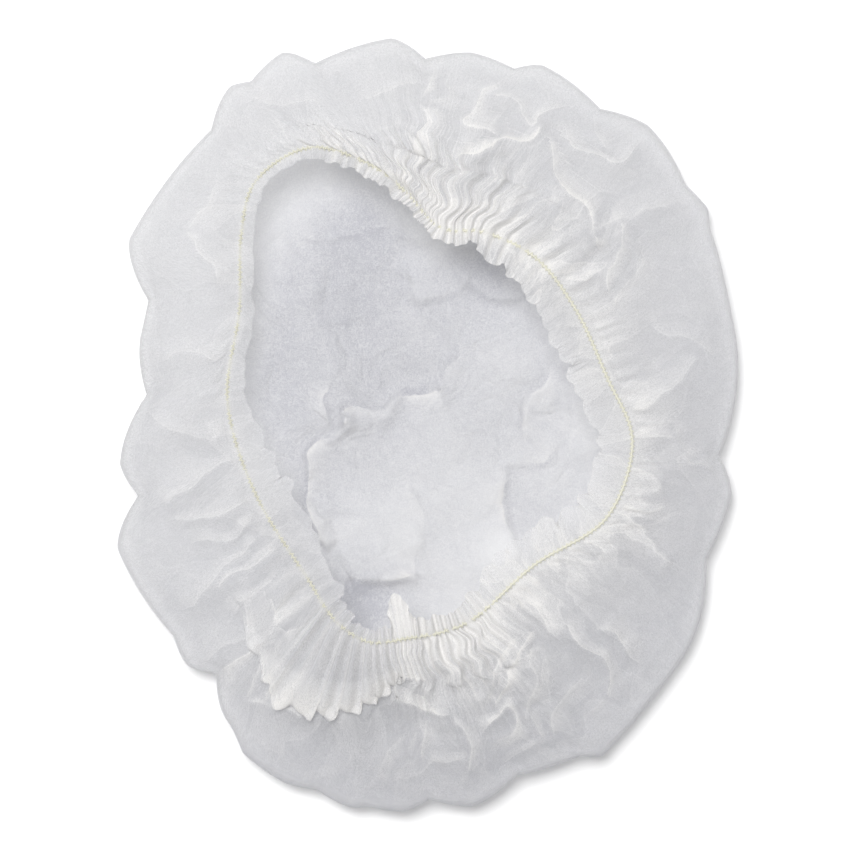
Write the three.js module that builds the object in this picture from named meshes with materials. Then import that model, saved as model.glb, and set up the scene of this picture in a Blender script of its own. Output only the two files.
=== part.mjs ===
// A disposable surgical cap of the bouffant kind, lying on its crown with the head opening up.
// It is one round of thin white nonwoven, gathered by an elastic that is sewn a little in from its edge.
// Millimetres, +Z up. The origin is on the surface under the cap's middle, and +Y runs along its length.
import * as THREE from 'three';
import { mergeVertices } from 'three/addons/utils/BufferGeometryUtils.js';

// Driving dimensions
const WALL = 1.0;                 // cloth thickness
const OVAL_X = 158;               // half width of the plain oval that the crown spreads to
const OVAL_Y = 190;               // half length of that oval
const EDGE_TOP = 24;              // height at which the cloth turns in over the outer fold
const PUFF = 10;                  // how far the gathered top stands above a straight slope
const GROOVE = 0.955;             // share of the way in where the gathers come down to the seam
const HEADER = 9;                 // cloth left inside the elastic, the small frill
const HEADER_RISE = 1.5;          // how much higher the frill's edge is than the seam
const PLEATS = 48;                // gathers all the way round
const ELASTIC_RADIUS = 0.9;
const SEAT_GAP = 0.5;             // elastic to cloth
const LEAST_LIFT = 0.4;           // a crumple lower than this lies flat on the surface

// The puffed outer fold. Each lobe rises from a notch to its crest and falls to the next notch.
// Angles are degrees from +X towards +Y, and reaches are from the middle of the cap.
const LOBES = [
  { notchAt: -6, notch: 147.5, crestAt: 17, crest: 161.5 },
  { notchAt: 35, notch: 173, crestAt: 37.5, crest: 177.5 },
  { notchAt: 42.5, notch: 176.5, crestAt: 53.5, crest: 186 },
  { notchAt: 61, notch: 180, crestAt: 72, crest: 188.5 },
  { notchAt: 76, notch: 183, crestAt: 83, crest: 187 },
  { notchAt: 90, notch: 182.5, crestAt: 95, crest: 193.5 },
  { notchAt: 107, notch: 188.5, crestAt: 111, crest: 199 },
  { notchAt: 117, notch: 192, crestAt: 120, crest: 195 },
  { notchAt: 126, notch: 182, crestAt: 148, crest: 174.5 },
  { notchAt: 156, notch: 151.5, crestAt: 163, crest: 149 },
  { notchAt: 174, notch: 140, crestAt: 187.5, crest: 154 },
  { notchAt: 194, notch: 148, crestAt: 202, crest: 166 },
  { notchAt: 220, notch: 164.5, crestAt: 227, crest: 166.5 },
  { notchAt: 230.5, notch: 163.5, crestAt: 236, crest: 178 },
  { notchAt: 241, notch: 188, crestAt: 249, crest: 192.5 },
  { notchAt: 253.5, notch: 190.5, crestAt: 259, crest: 195 },
  { notchAt: 261.5, notch: 193, crestAt: 266.5, crest: 194 },
  { notchAt: 270.5, notch: 187.5, crestAt: 277, crest: 192.5 },
  { notchAt: 284.5, notch: 181.5, crestAt: 290, crest: 182.5 },
  { notchAt: 295, notch: 183, crestAt: 298, crest: 188 },
  { notchAt: 300, notch: 185.5, crestAt: 318, crest: 173.5 },
  { notchAt: 334.5, notch: 155.5, crestAt: 347, crest: 157 },
];

// The elastic's way round the opening, and the angle of the cloth that is sewn to it at each point.
// Where the cloth's angle runs on fast over a short way, the gathers are packed tight.
const ELASTIC_ROUTE = [
  { cloth: -2, x: 102, y: -8, z: 34 },
  { cloth: 14, x: 89.5, y: 23, z: 35 },
  { cloth: 33, x: 73, y: 58, z: 37 },
  { cloth: 48, x: 53.5, y: 82, z: 41 },
  { cloth: 61, x: 28.5, y: 94, z: 45 },
  { cloth: 80, x: 7.5, y: 96, z: 46 },
  { cloth: 104, x: -10, y: 114, z: 45 },
  { cloth: 110, x: -26.5, y: 127, z: 41 },
  { cloth: 118, x: -57, y: 136, z: 37 },
  { cloth: 133, x: -84, y: 119.5, z: 33 },
  { cloth: 147, x: -91, y: 94, z: 31 },
  { cloth: 163, x: -92, y: 57, z: 29 },
  { cloth: 180, x: -98, y: 12, z: 29 },
  { cloth: 200, x: -85, y: -32.5, z: 30 },
  { cloth: 224, x: -58, y: -76.5, z: 34 },
  { cloth: 242, x: -43, y: -98, z: 40 },
  { cloth: 256, x: -27, y: -107, z: 44 },
  { cloth: 270, x: -9, y: -105, z: 46 },
  { cloth: 284, x: 8, y: -102, z: 45 },
  { cloth: 298, x: 23, y: -96, z: 42 },
  { cloth: 318, x: 53.5, y: -69.5, z: 37 },
  { cloth: 338, x: 89.5, y: -46, z: 34 },
];

// How deep the gathers are at each angle of the cloth: deepest in the two bunches at the ends of the opening.
const GATHERS = [
  { cloth: -20, depth: 0.7 },
  { cloth: 35, depth: 0.9 },
  { cloth: 66, depth: 1.5 },
  { cloth: 98, depth: 1.4 },
  { cloth: 116, depth: 0.9 },
  { cloth: 150, depth: 0.7 },
  { cloth: 210, depth: 0.7 },
  { cloth: 240, depth: 1.3 },
  { cloth: 270, depth: 1.5 },
  { cloth: 296, depth: 1.3 },
  { cloth: 322, depth: 0.8 },
];

// Long soft creases where the crown's cloth lifts off the surface it lies on.
const CREASES = [
  { x: -20, y: 25, turn: 25, half: 62, wide: 16, lift: 4.5 },
  { x: 35, y: 5, turn: 100, half: 48, wide: 14, lift: 4 },
  { x: -40, y: -35, turn: 120, half: 45, wide: 14, lift: 3.5 },
  { x: 30, y: -62, turn: 60, half: 40, wide: 15, lift: 4 },
  { x: -15, y: 85, turn: 170, half: 45, wide: 15, lift: 3.5 },
];

// Rings of the crown from its middle to the outer fold: share of the way out, height, how much of the
// lobes it shows, and points round.
const CROWN_RINGS = [
  { out: 0.12, up: 0, lobes: 0, points: 24 },
  { out: 0.27, up: 0, lobes: 0, points: 48 },
  { out: 0.42, up: 0, lobes: 0, points: 96 },
  { out: 0.57, up: 0, lobes: 0, points: 96 },
  { out: 0.71, up: 0, lobes: 0, points: 96 },
  { out: 0.83, up: 0, lobes: 0, points: 96 },
  { out: 0.94, up: 4, lobes: 0.45, points: 192 },
  { out: 1.0, up: 13, lobes: 1, points: 192 },
  { out: 0.985, up: EDGE_TOP, lobes: 0.9, points: 192 },
];

// Rings of the gathered top: share of the way from the outer fold in to the elastic, and pleat depth.
const TOP_RINGS = [
  { over: 0.24, pleat: 1.4 },
  { over: 0.54, pleat: 2.6 },
  { over: 0.83, pleat: 3.4 },
  { over: GROOVE, pleat: 0 },
  { over: 1.0, pleat: 0 },
];

// Rings of the frill inside the elastic: share of its width, and pleat depth.
const FRILL_RINGS = [
  { across: 0.25, pleat: 0 },
  { across: 1.0, pleat: 2.4 },
];

const TOP_POINTS = 192;
const TURN = 2 * Math.PI;
const DEGREE = Math.PI / 180;
const lerp = THREE.MathUtils.lerp;

// The row of a table of angles that holds this angle, and how far it is to the next row, 0 to 1.
function between(table, column, degrees) {
  const first = table[0][column];
  const angle = first + THREE.MathUtils.euclideanModulo(degrees - first, 360);
  const index = table.findLastIndex((row) => row[column] <= angle);
  const next = index + 1 < table.length ? table[index + 1][column] : first + 360;
  return { index, share: (angle - table[index][column]) / (next - table[index][column]), angle };
}

// Reach of the plain oval at an angle.
function ovalReach(angle) {
  return 1 / Math.hypot(Math.cos(angle) / OVAL_X, Math.sin(angle) / OVAL_Y);
}

// Reach of the outer fold at an angle: a quarter sine up from each notch to the crest and down again.
function foldReach(angle) {
  const { index, angle: degrees } = between(LOBES, 'notchAt', angle / DEGREE);
  const lobe = LOBES[index];
  const next = LOBES[(index + 1) % LOBES.length];
  const nextAt = index + 1 < LOBES.length ? next.notchAt : next.notchAt + 360;
  const rising = degrees < lobe.crestAt;
  const notch = rising ? lobe.notch : next.notch;
  const share = rising
    ? (degrees - lobe.notchAt) / (lobe.crestAt - lobe.notchAt)
    : (nextAt - degrees) / (nextAt - lobe.crestAt);
  return lerp(notch, lobe.crest, Math.sin((share * Math.PI) / 2));
}

// Height of the crumpled crown above the surface: the tallest crease at that place, flat where it is low.
function crumple(x, y) {
  const lifts = CREASES.map((crease) => {
    const dx = x - crease.x;
    const dy = y - crease.y;
    const c = Math.cos(crease.turn * DEGREE);
    const s = Math.sin(crease.turn * DEGREE);
    const along = (dx * c + dy * s) / crease.half;
    const across = (dy * c - dx * s) / crease.wide;
    return crease.lift * Math.exp(-across * across) * Math.max(0, 1 - along * along);
  });
  const lift = Math.max(...lifts);
  return lift < LEAST_LIFT ? 0 : lift;
}

const elasticCurve = new THREE.CatmullRomCurve3(
  ELASTIC_ROUTE.map(({ x, y, z }) => new THREE.Vector3(x, y, z)), true, 'centripetal');

// Where the cloth at this angle is sewn to the elastic, and the direction from there into the opening.
function seamAt(angle) {
  const { index, share } = between(ELASTIC_ROUTE, 'cloth', angle / DEGREE);
  const t = (index + share) / ELASTIC_ROUTE.length;
  const tangent = elasticCurve.getTangent(t);
  const inward = new THREE.Vector3(-tangent.y, tangent.x, 0).normalize();
  return { place: elasticCurve.getPoint(t), inward };
}

// Height of the gathers at an angle, for a pleat that is one unit deep.
function pleatWave(angle) {
  const { index, share } = between(GATHERS, 'cloth', angle / DEGREE);
  const next = GATHERS[(index + 1) % GATHERS.length];
  return lerp(GATHERS[index].depth, next.depth, share) * Math.sin(PLEATS * angle);
}

// A point of the crown's middle surface on one of its rings.
function crownPoint(ring, angle) {
  const plain = ovalReach(angle);
  const reach = ring.out * lerp(plain, foldReach(angle), ring.lobes);
  const x = reach * Math.cos(angle);
  const y = reach * Math.sin(angle);
  return new THREE.Vector3(x, y, WALL / 2 + ring.up + (ring.up === 0 ? crumple(x, y) : 0));
}

// A point of the gathered top, on the slope from the outer fold in to the elastic.
function topPoint(ring, angle) {
  const edge = crownPoint(CROWN_RINGS.at(-1), angle);
  const point = edge.lerp(seamAt(angle).place, ring.over);
  const rise = Math.sin(Math.PI * Math.min(1, ring.over / GROOVE));
  point.z += PUFF * rise + ring.pleat * pleatWave(angle);
  return point;
}

// A point of the frill, on from the elastic into the opening.
function frillPoint(ring, angle) {
  const { place, inward } = seamAt(angle);
  const point = place.addScaledVector(inward, HEADER * ring.across);
  point.z += HEADER_RISE * Math.floor(ring.across) + ring.pleat * pleatWave(angle);
  return point;
}

// The rings of the whole sheet, each a row of points, from the middle of the crown to the frill's edge.
function sheetRings() {
  const round = (points, place) => Array.from({ length: points }, (_, k) => place((k * TURN) / points));
  const middle = [new THREE.Vector3(0, 0, WALL / 2 + crumple(0, 0))];
  return [
    middle,
    ...CROWN_RINGS.map((ring) => round(ring.points, (angle) => crownPoint(ring, angle))),
    ...TOP_RINGS.map((ring) => round(TOP_POINTS, (angle) => topPoint(ring, angle))),
    ...FRILL_RINGS.map((ring) => round(TOP_POINTS, (angle) => frillPoint(ring, angle))),
  ];
}

// Triangles between each ring and the next, which has as many points or twice as many, or goes round the
// middle point. They face the inside of the cap.
function sheetTriangles(rings) {
  const triangles = [];
  let first = 0;
  for (let r = 0; r + 1 < rings.length; r++) {
    const inner = rings[r].length;
    const outer = rings[r + 1].length;
    const a = (k) => first + (k % inner);
    const b = (k) => first + inner + (k % outer);
    for (let k = 0; k < outer; k++) {
      const k0 = Math.floor((k * inner) / outer);
      const k1 = Math.floor(((k + 1) * inner) / outer);
      triangles.push([a(k0), b(k), b(k + 1)]);
      if (k1 > k0 && inner > 1) triangles.push([a(k0), b(k + 1), a(k1)]);
    }
    first += inner;
  }
  return triangles;
}

// Steps from the middle surface to the inner face, longer at a fold to keep the wall's thickness.
function wallSteps(points, triangles) {
  const LEAST_LEAN = 0.5;
  const facing = triangles.map(([a, b, c]) => {
    const ab = points[b].clone().sub(points[a]);
    const ac = points[c].clone().sub(points[a]);
    return ab.cross(ac);
  });
  const steps = points.map(() => new THREE.Vector3());
  triangles.forEach((corners, i) => corners.forEach((v) => steps[v].add(facing[i])));
  steps.forEach((step) => step.normalize());
  const lean = points.map(() => ({ sum: 0, count: 0 }));
  triangles.forEach((corners, i) => {
    const unit = facing[i].clone().normalize();
    corners.forEach((v) => {
      lean[v].sum += unit.dot(steps[v]);
      lean[v].count += 1;
    });
  });
  steps.forEach((step, v) => {
    step.multiplyScalar(WALL / 2 / Math.max(LEAST_LEAN, lean[v].sum / lean[v].count));
  });
  return steps;
}

// The sheet as a closed wall: an inner face, an outer face, and a strip round the frill's edge.
function wallGeometry(rings) {
  const points = rings.flat();
  const triangles = sheetTriangles(rings);
  const steps = wallSteps(points, triangles);
  const count = points.length;
  const positions = [];
  points.forEach((point, v) => positions.push(...point.clone().add(steps[v]).toArray()));
  points.forEach((point, v) => {
    const outer = point.clone().sub(steps[v]);
    const lies = point.z === WALL / 2;
    positions.push(outer.x, outer.y, lies ? 0 : Math.max(0, outer.z));
  });
  const index = [];
  triangles.forEach(([a, b, c]) => index.push(a, b, c, count + a, count + c, count + b));
  const edgePoints = rings.at(-1).length;
  const edge = count - edgePoints;
  for (let k = 0; k < edgePoints; k++) {
    const here = edge + k;
    const next = edge + ((k + 1) % edgePoints);
    index.push(here, count + here, count + next, here, count + next, next);
  }
  const geometry = new THREE.BufferGeometry();
  geometry.setAttribute('position', new THREE.Float32BufferAttribute(positions, 3));
  geometry.setIndex(index);
  return geometry;
}

// The elastic, a closed round cord seated on the cloth along the seam.
function elasticGeometry() {
  const STEPS = 132;
  const SIDES = 6;
  const seat = WALL / 2 + SEAT_GAP + ELASTIC_RADIUS;
  const raised = new THREE.CatmullRomCurve3(
    ELASTIC_ROUTE.map(({ x, y, z }) => new THREE.Vector3(x, y, z + seat)), true, 'centripetal');
  const tube = new THREE.TubeGeometry(raised, STEPS, ELASTIC_RADIUS, SIDES, true);
  tube.deleteAttribute('normal');
  tube.deleteAttribute('uv');
  return mergeVertices(tube, 1e-3);
}

const cloth = new THREE.MeshStandardMaterial({ color: 0xe6e6ec, roughness: 0.85, metalness: 0 });
const elasticYarn = new THREE.MeshStandardMaterial({ color: 0xe9e6c6, roughness: 0.8, metalness: 0 });

const crown = new THREE.Mesh(wallGeometry(sheetRings()), cloth);
crown.name = 'crown';

const elastic = new THREE.Mesh(elasticGeometry(), elasticYarn);
elastic.name = 'elastic';

// Both pieces are set so that the middle of the whole cap's length and width is over the origin.
const cap = new THREE.Group();
cap.add(crown, elastic);
const spread = new THREE.Box3().setFromObject(crown);
const middle = spread.getCenter(new THREE.Vector3());
crown.position.set(-middle.x, -middle.y, 0);
elastic.position.copy(crown.position);

export default cap;
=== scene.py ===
import bpy
import numpy as np
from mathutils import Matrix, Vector


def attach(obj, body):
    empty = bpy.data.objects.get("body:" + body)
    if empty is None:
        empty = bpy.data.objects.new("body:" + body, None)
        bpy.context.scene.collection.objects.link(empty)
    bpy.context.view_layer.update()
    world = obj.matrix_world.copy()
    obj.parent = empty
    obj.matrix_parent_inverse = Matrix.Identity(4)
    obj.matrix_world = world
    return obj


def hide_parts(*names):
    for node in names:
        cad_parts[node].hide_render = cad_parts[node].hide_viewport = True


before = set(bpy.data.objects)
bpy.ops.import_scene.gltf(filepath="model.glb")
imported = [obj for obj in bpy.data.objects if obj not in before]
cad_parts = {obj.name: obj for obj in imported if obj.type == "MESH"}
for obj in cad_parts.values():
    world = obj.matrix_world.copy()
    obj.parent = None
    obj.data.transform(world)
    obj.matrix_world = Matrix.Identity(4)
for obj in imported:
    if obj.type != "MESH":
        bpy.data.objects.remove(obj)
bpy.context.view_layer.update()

# The elastic
# A thin rubber thread covered with pale yellow yarn, joined into one loop and sewn to the cloth while it is
# stretched. Let go, it draws the cloth into gathers, and it lies where the opening was last pulled open.
MM = 0.001
TURN = 2 * np.pi
CAP_MIDDLE = np.array([1.375, -0.515, 0.0])  # middle of the cap's length and width, mm from the opening's
ELASTIC_RADIUS = 0.5
ELASTIC_SEAT = 0.6  # its middle above the cloth at the seam, where it lies bare
ELASTIC_COVERED = -0.9  # the same where the gathers have closed over it

# Degrees of the cloth that is sewn there, x, y and z of the seam in mm, and how far the elastic lies bare.
ELASTIC_ROUTE = np.array([
    (-2, 102, -8, 34, 1.0),
    (14, 89.5, 23, 35, 1.0),
    (33, 73, 58, 37, 1.0),
    (48, 53.5, 82, 41, 0.6),
    (61, 28.5, 94, 45, 0.0),
    (80, 7.5, 96, 46, 0.0),
    (104, -10, 114, 45, 0.1),
    (110, -26.5, 127, 41, 0.4),
    (118, -57, 136, 37, 0.8),
    (133, -84, 119.5, 33, 0.5),
    (147, -91, 94, 31, 0.4),
    (163, -92, 57, 29, 0.3),
    (180, -98, 12, 29, 0.4),
    (200, -85, -32.5, 30, 0.5),
    (224, -58, -76.5, 34, 0.4),
    (242, -43, -98, 40, 0.2),
    (256, -27, -107, 44, 0.3),
    (270, -9, -105, 46, 0.9),
    (284, 8, -102, 45, 0.6),
    (298, 23, -96, 42, 0.4),
    (318, 53.5, -69.5, 37, 1.0),
    (338, 89.5, -46, 34, 1.0),
])


def closed_curve(points, at):
    """A smooth closed curve through the points, at counted in points, so 2.5 is half way from the third to
    the fourth. Each stretch blends straight lines between its four nearest points in three rounds, over knots
    spaced by the root of the distance."""
    first = np.floor(at).astype(int)
    a, b, c, d = (points[(first + k) % len(points)] for k in (-1, 0, 1, 2))
    gap = [np.sqrt(np.linalg.norm(q - p, axis=-1, keepdims=True)) for p, q in ((a, b), (b, c), (c, d))]
    k0, k1 = np.zeros_like(gap[0]), gap[0]
    k2 = k1 + gap[1]
    k3 = k2 + gap[2]
    t = k1 + (at - first)[..., None] * gap[1]

    def blend(p, q, start, end):
        return ((end - t) * p + (t - start) * q) / (end - start)

    ab, bc, cd = blend(a, b, k0, k1), blend(b, c, k1, k2), blend(c, d, k2, k3)
    return blend(blend(ab, bc, k0, k2), blend(bc, cd, k1, k3), k1, k2)


def seam_count(turn):
    """The place on the route at an angle of the cloth, counted in rows of its table."""
    cloth = np.radians(ELASTIC_ROUTE[:, 0])
    knots = np.append(cloth, cloth[0] + TURN)
    return np.interp(cloth[0] + np.mod(turn - cloth[0], TURN), knots, np.arange(len(knots)))


def seam_frame(turn):
    """Place of the seam at an angle of the cloth, and the level direction from there into the opening."""
    at = seam_count(turn)
    place = closed_curve(ELASTIC_ROUTE[:, 1:4], at)
    ahead = closed_curve(ELASTIC_ROUTE[:, 1:4], at + 0.02) - closed_curve(ELASTIC_ROUTE[:, 1:4], at - 0.02)
    inward = np.stack([-ahead[..., 1], ahead[..., 0], np.zeros_like(at)], axis=-1)
    return place, inward / np.linalg.norm(inward, axis=-1, keepdims=True)


def mesh_piece(name, points_mm, faces, material, cut_mm=None):
    """A smooth-shaded object at the origin with its place in its mesh, from points in millimetres. cut_mm
    gives each point's place on the flat piece, which becomes the UV map, in metres."""
    mesh = bpy.data.meshes.new(name)
    mesh.from_pydata((points_mm - CAP_MIDDLE) * MM, [], faces)
    mesh.polygons.foreach_set("use_smooth", np.ones(len(mesh.polygons), dtype=bool))
    if cut_mm is not None:
        corner = np.empty(len(mesh.loops), dtype=np.int32)
        mesh.loops.foreach_get("vertex_index", corner)
        flat = (cut_mm[corner] * MM).astype(np.float32)
        mesh.uv_layers.new(name="cut").data.foreach_set("uv", flat.ravel())
    mesh.materials.append(material)
    mesh.update()
    piece = bpy.data.objects.new(name, mesh)
    bpy.context.scene.collection.objects.link(piece)
    return piece


def tube_faces(steps, sides):
    """Four-sided faces of a tube that is closed both ways, its points counted side by side along the path."""
    along, round_it = np.meshgrid(np.arange(steps), np.arange(sides), indexing="ij")
    on, beside = (along + 1) % steps, (round_it + 1) % sides
    corners = (along * sides + round_it, on * sides + round_it, on * sides + beside, along * sides + beside)
    return np.stack([c.ravel() for c in corners], axis=1)


def carried_tube(path, radius, sides):
    """A round profile carried along a closed path of points, each ring square to the path and one side up."""
    ahead = np.roll(path, -1, axis=0) - np.roll(path, 1, axis=0)
    ahead /= np.linalg.norm(ahead, axis=1, keepdims=True)
    across = np.cross((0.0, 0.0, 1.0), ahead)
    across /= np.linalg.norm(across, axis=1, keepdims=True)
    over = np.cross(ahead, across)
    turn = np.arange(sides) * TURN / sides
    ring = np.cos(turn)[None, :, None] * across[:, None] + np.sin(turn)[None, :, None] * over[:, None]
    return (path[:, None] + radius[..., None] * ring).reshape(-1, 3)


def even_steps(path, steps):
    """Points of a closed path, set out at even distances along it."""
    closed = np.vstack([path, path[:1]])
    way = np.concatenate([[0.0], np.cumsum(np.linalg.norm(np.diff(closed, axis=0), axis=1))])
    at = np.arange(steps) * way[-1] / steps
    return np.stack([np.interp(at, way, closed[:, k]) for k in range(3)], axis=1)


def fade(x, low, high):
    """0 below low, 1 above high, and a smooth step between."""
    t = np.clip((x - low) / (high - low), 0, 1)
    return t * t * (3 - 2 * t)


PALER_SIDE = (-0.04, 0.05)  # x in metres over which a yarn turns paler, towards the right


def flecked_yarn(name, fleck_scale, roughness, dark, pale, right_share):
    """A matt yarn: a dye from dark to pale, picked by fine noise plus a share that goes from the first to the
    second of two values over the middle of the cap, from left to right."""
    yarn = bpy.data.materials.new(name)
    yarn.use_nodes = True
    nodes, links = yarn.node_tree.nodes, yarn.node_tree.links
    skin = nodes["Principled BSDF"]
    skin.inputs["Roughness"].default_value = roughness
    skin.inputs["Sheen Weight"].default_value = 0.3
    where = nodes.new("ShaderNodeTexCoord")
    fleck = nodes.new("ShaderNodeTexNoise")
    fleck.inputs["Scale"].default_value = fleck_scale
    links.new(where.outputs["Object"], fleck.inputs["Vector"])
    apart = nodes.new("ShaderNodeSeparateXYZ")
    links.new(where.outputs["Object"], apart.inputs["Vector"])
    paler = nodes.new("ShaderNodeMapRange")
    for socket, number in zip(("From Min", "From Max", "To Min", "To Max"), (*PALER_SIDE, *right_share)):
        paler.inputs[socket].default_value = number
    links.new(apart.outputs["X"], paler.inputs["Value"])
    picked = nodes.new("ShaderNodeMath")
    links.new(fleck.outputs["Fac"], picked.inputs[0])
    links.new(paler.outputs["Result"], picked.inputs[1])
    dye = nodes.new("ShaderNodeValToRGB")
    dye.color_ramp.elements[0].color = dark
    dye.color_ramp.elements[1].color = pale
    links.new(picked.outputs["Value"], dye.inputs["Fac"])
    links.new(dye.outputs["Color"], skin.inputs["Base Color"])
    return yarn


ELASTIC_STEPS = 3000
ELASTIC_SIDES = 8
COIL_TURNS = 420
COIL_DEPTH = 0.2
SLACK_SIDE = (-30, 40)  # x in mm over which the elastic turns slack, towards the right
SLACK_SWELL = 0.15  # how much thicker it is there, where it has drawn in most
DASH_LENGTH = 14.0  # mm from one covered place to the next, where it half shows
DASH_DEPTH = 1.6
DASH_STRAY = 1.7  # how far the dashes stray from an even beat, in radians
STRAY_LENGTH = 9.0
SEAM_STEPS = 4000
counted = np.arange(SEAM_STEPS) * len(ELASTIC_ROUTE) / SEAM_STEPS
seam_loop = closed_curve(ELASTIC_ROUTE[:, 1:4], counted)
bare_rows = np.append(ELASTIC_ROUTE[:, 4], ELASTIC_ROUTE[0, 4])
bare = np.interp(counted, np.arange(len(bare_rows)), bare_rows)
seam_way = np.cumsum(np.linalg.norm(seam_loop - np.roll(seam_loop, 1, axis=0), axis=1))
dash = np.sin(TURN * seam_way / DASH_LENGTH + DASH_STRAY * np.sin(seam_way / STRAY_LENGTH))
bare = np.clip(bare + DASH_DEPTH * bare * (1 - bare) * dash, 0, 1)
seam_loop[:, 2] += ELASTIC_COVERED + (ELASTIC_SEAT - ELASTIC_COVERED) * bare
elastic_path = even_steps(seam_loop, ELASTIC_STEPS)
round_it = np.arange(ELASTIC_SIDES) / ELASTIC_SIDES
coil = np.arange(ELASTIC_STEPS)[:, None] * COIL_TURNS / ELASTIC_STEPS + round_it
swell = 1 + SLACK_SWELL * fade(elastic_path[:, :1], *SLACK_SIDE)
elastic_radius = ELASTIC_RADIUS * (1 + COIL_DEPTH * np.cos(TURN * coil)) * swell

yarn = flecked_yarn("covered_elastic", 900.0, 0.8, (0.47, 0.46, 0.375, 1), (0.72, 0.71, 0.61, 1), (-0.1, 0.5))
elastic = mesh_piece("elastic_cord", carried_tube(elastic_path, elastic_radius, ELASTIC_SIDES),
                     tube_faces(ELASTIC_STEPS, ELASTIC_SIDES), yarn)
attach(elastic, "root")
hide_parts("elastic")

# The stitches
# A fine pale yellow thread that crosses the elastic from side to side in a zigzag and goes down through the
# cloth at each turn. It is sewn with the elastic at full stretch, so its turns lie close once that is let go.
THREAD_RADIUS = 0.19
STITCHES = 290
STITCH_STEPS = 10  # points of the path to each stitch, over and back
STITCH_HALF_WIDTH = 1.15
STITCH_SINK = 0.55  # how far the thread dips beside the elastic

steps_in_all = STITCHES * STITCH_STEPS
under_thread = even_steps(seam_loop, steps_in_all)
ahead = np.roll(under_thread, -1, axis=0) - np.roll(under_thread, 1, axis=0)
beside = np.cross((0.0, 0.0, 1.0), ahead)
beside /= np.linalg.norm(beside, axis=1, keepdims=True)
swing = np.sin(TURN * np.arange(steps_in_all) / STITCH_STEPS)
thread_path = under_thread + (STITCH_HALF_WIDTH * swing)[:, None] * beside
thread_path[:, 2] += ELASTIC_RADIUS + THREAD_RADIUS - STITCH_SINK * swing ** 2

thread = flecked_yarn("sewing_thread", 1500.0, 0.7, (0.66, 0.65, 0.52, 1), (0.80, 0.79, 0.68, 1), (0.0, 0.0))
THREAD_SIDES = 5
thread_radius = np.full((steps_in_all, THREAD_SIDES), THREAD_RADIUS)
stitches = mesh_piece("stitches", carried_tube(thread_path, thread_radius, THREAD_SIDES),
                      tube_faces(steps_in_all, THREAD_SIDES), thread)
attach(stitches, "root")

# The crown
# One round of thin white spunbond nonwoven. Its middle lies flat as the floor of the cap, it turns up over a
# puffed outer fold, comes back in as the gathered top, and ends in a small frill inside the elastic.
CUT = 0.533  # across the flat round, in metres
OVAL_X = 158  # half width of the oval that the floor's rings follow, in mm
OVAL_Y = 190  # half its length
PUFF = 9.0  # how far the top bulges between the fold and the seam

# Lobes of the outer fold: degrees and reach in mm of the notch before each lobe, then of its crest.
LOBES = np.array([
    (-6, 147.5, 17, 161.5),
    (35, 173, 37.5, 177.5),
    (42.5, 176.5, 53.5, 186),
    (61, 180, 72, 188.5),
    (76, 183, 83, 187),
    (90, 182.5, 95, 193.5),
    (107, 188.5, 111, 199),
    (117, 192, 120, 195),
    (126, 182, 148, 174.5),
    (156, 151.5, 163, 149),
    (174, 140, 187.5, 154),
    (194, 148, 202, 166),
    (220, 164.5, 225.3, 169.5),
    (230, 162.8, 236, 178),
    (241, 188, 249, 192.5),
    (253.5, 190.5, 259, 195),
    (261.5, 193, 266.5, 194),
    (270.5, 187.5, 277, 192.5),
    (284.5, 181.5, 290, 182.5),
    (295, 183, 298, 188),
    (300, 185.5, 318, 173.5),
    (334.5, 155.5, 347, 157),
])


def fold_reach(turn):
    """Reach of the outer fold and how far up its lobe each angle is, 0 at a notch and 1 at a crest: half way
    between a straight line and a quarter sine from the notch up to the crest, and the same down to the next
    notch."""
    notch_at, notch, crest_at, crest = LOBES.T
    degrees = notch_at[0] + np.mod(np.degrees(turn) - notch_at[0], 360)
    row = np.searchsorted(notch_at, degrees, side="right") - 1
    after = (row + 1) % len(LOBES)
    after_at = np.append(notch_at[1:], notch_at[0] + 360)[row]
    rising = degrees < crest_at[row]
    share = np.where(rising, (degrees - notch_at[row]) / (crest_at[row] - notch_at[row]),
                     (after_at - degrees) / (after_at - crest_at[row]))
    lift = 0.5 * share + 0.5 * np.sin(share * np.pi / 2)
    base = np.where(rising, notch[row], notch[after])
    return base + (crest[row] - base) * lift, lift


def soft_noise(x, y, size, seed):
    """Soft noise of about unit spread: a sum of plane waves about one size long, in directions and phases
    that the seed draws."""
    waves = 20
    draw = np.random.default_rng(seed)
    turn = draw.uniform(0, TURN, waves)
    pace = TURN / size * draw.uniform(0.6, 1.5, waves)
    phase = draw.uniform(0, TURN, waves)
    total = np.zeros_like(x)
    for t, p, f in zip(turn, pace, phase):
        total += np.sin(p * (x * np.cos(t) + y * np.sin(t)) + f)
    return total * np.sqrt(2 / waves)


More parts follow.
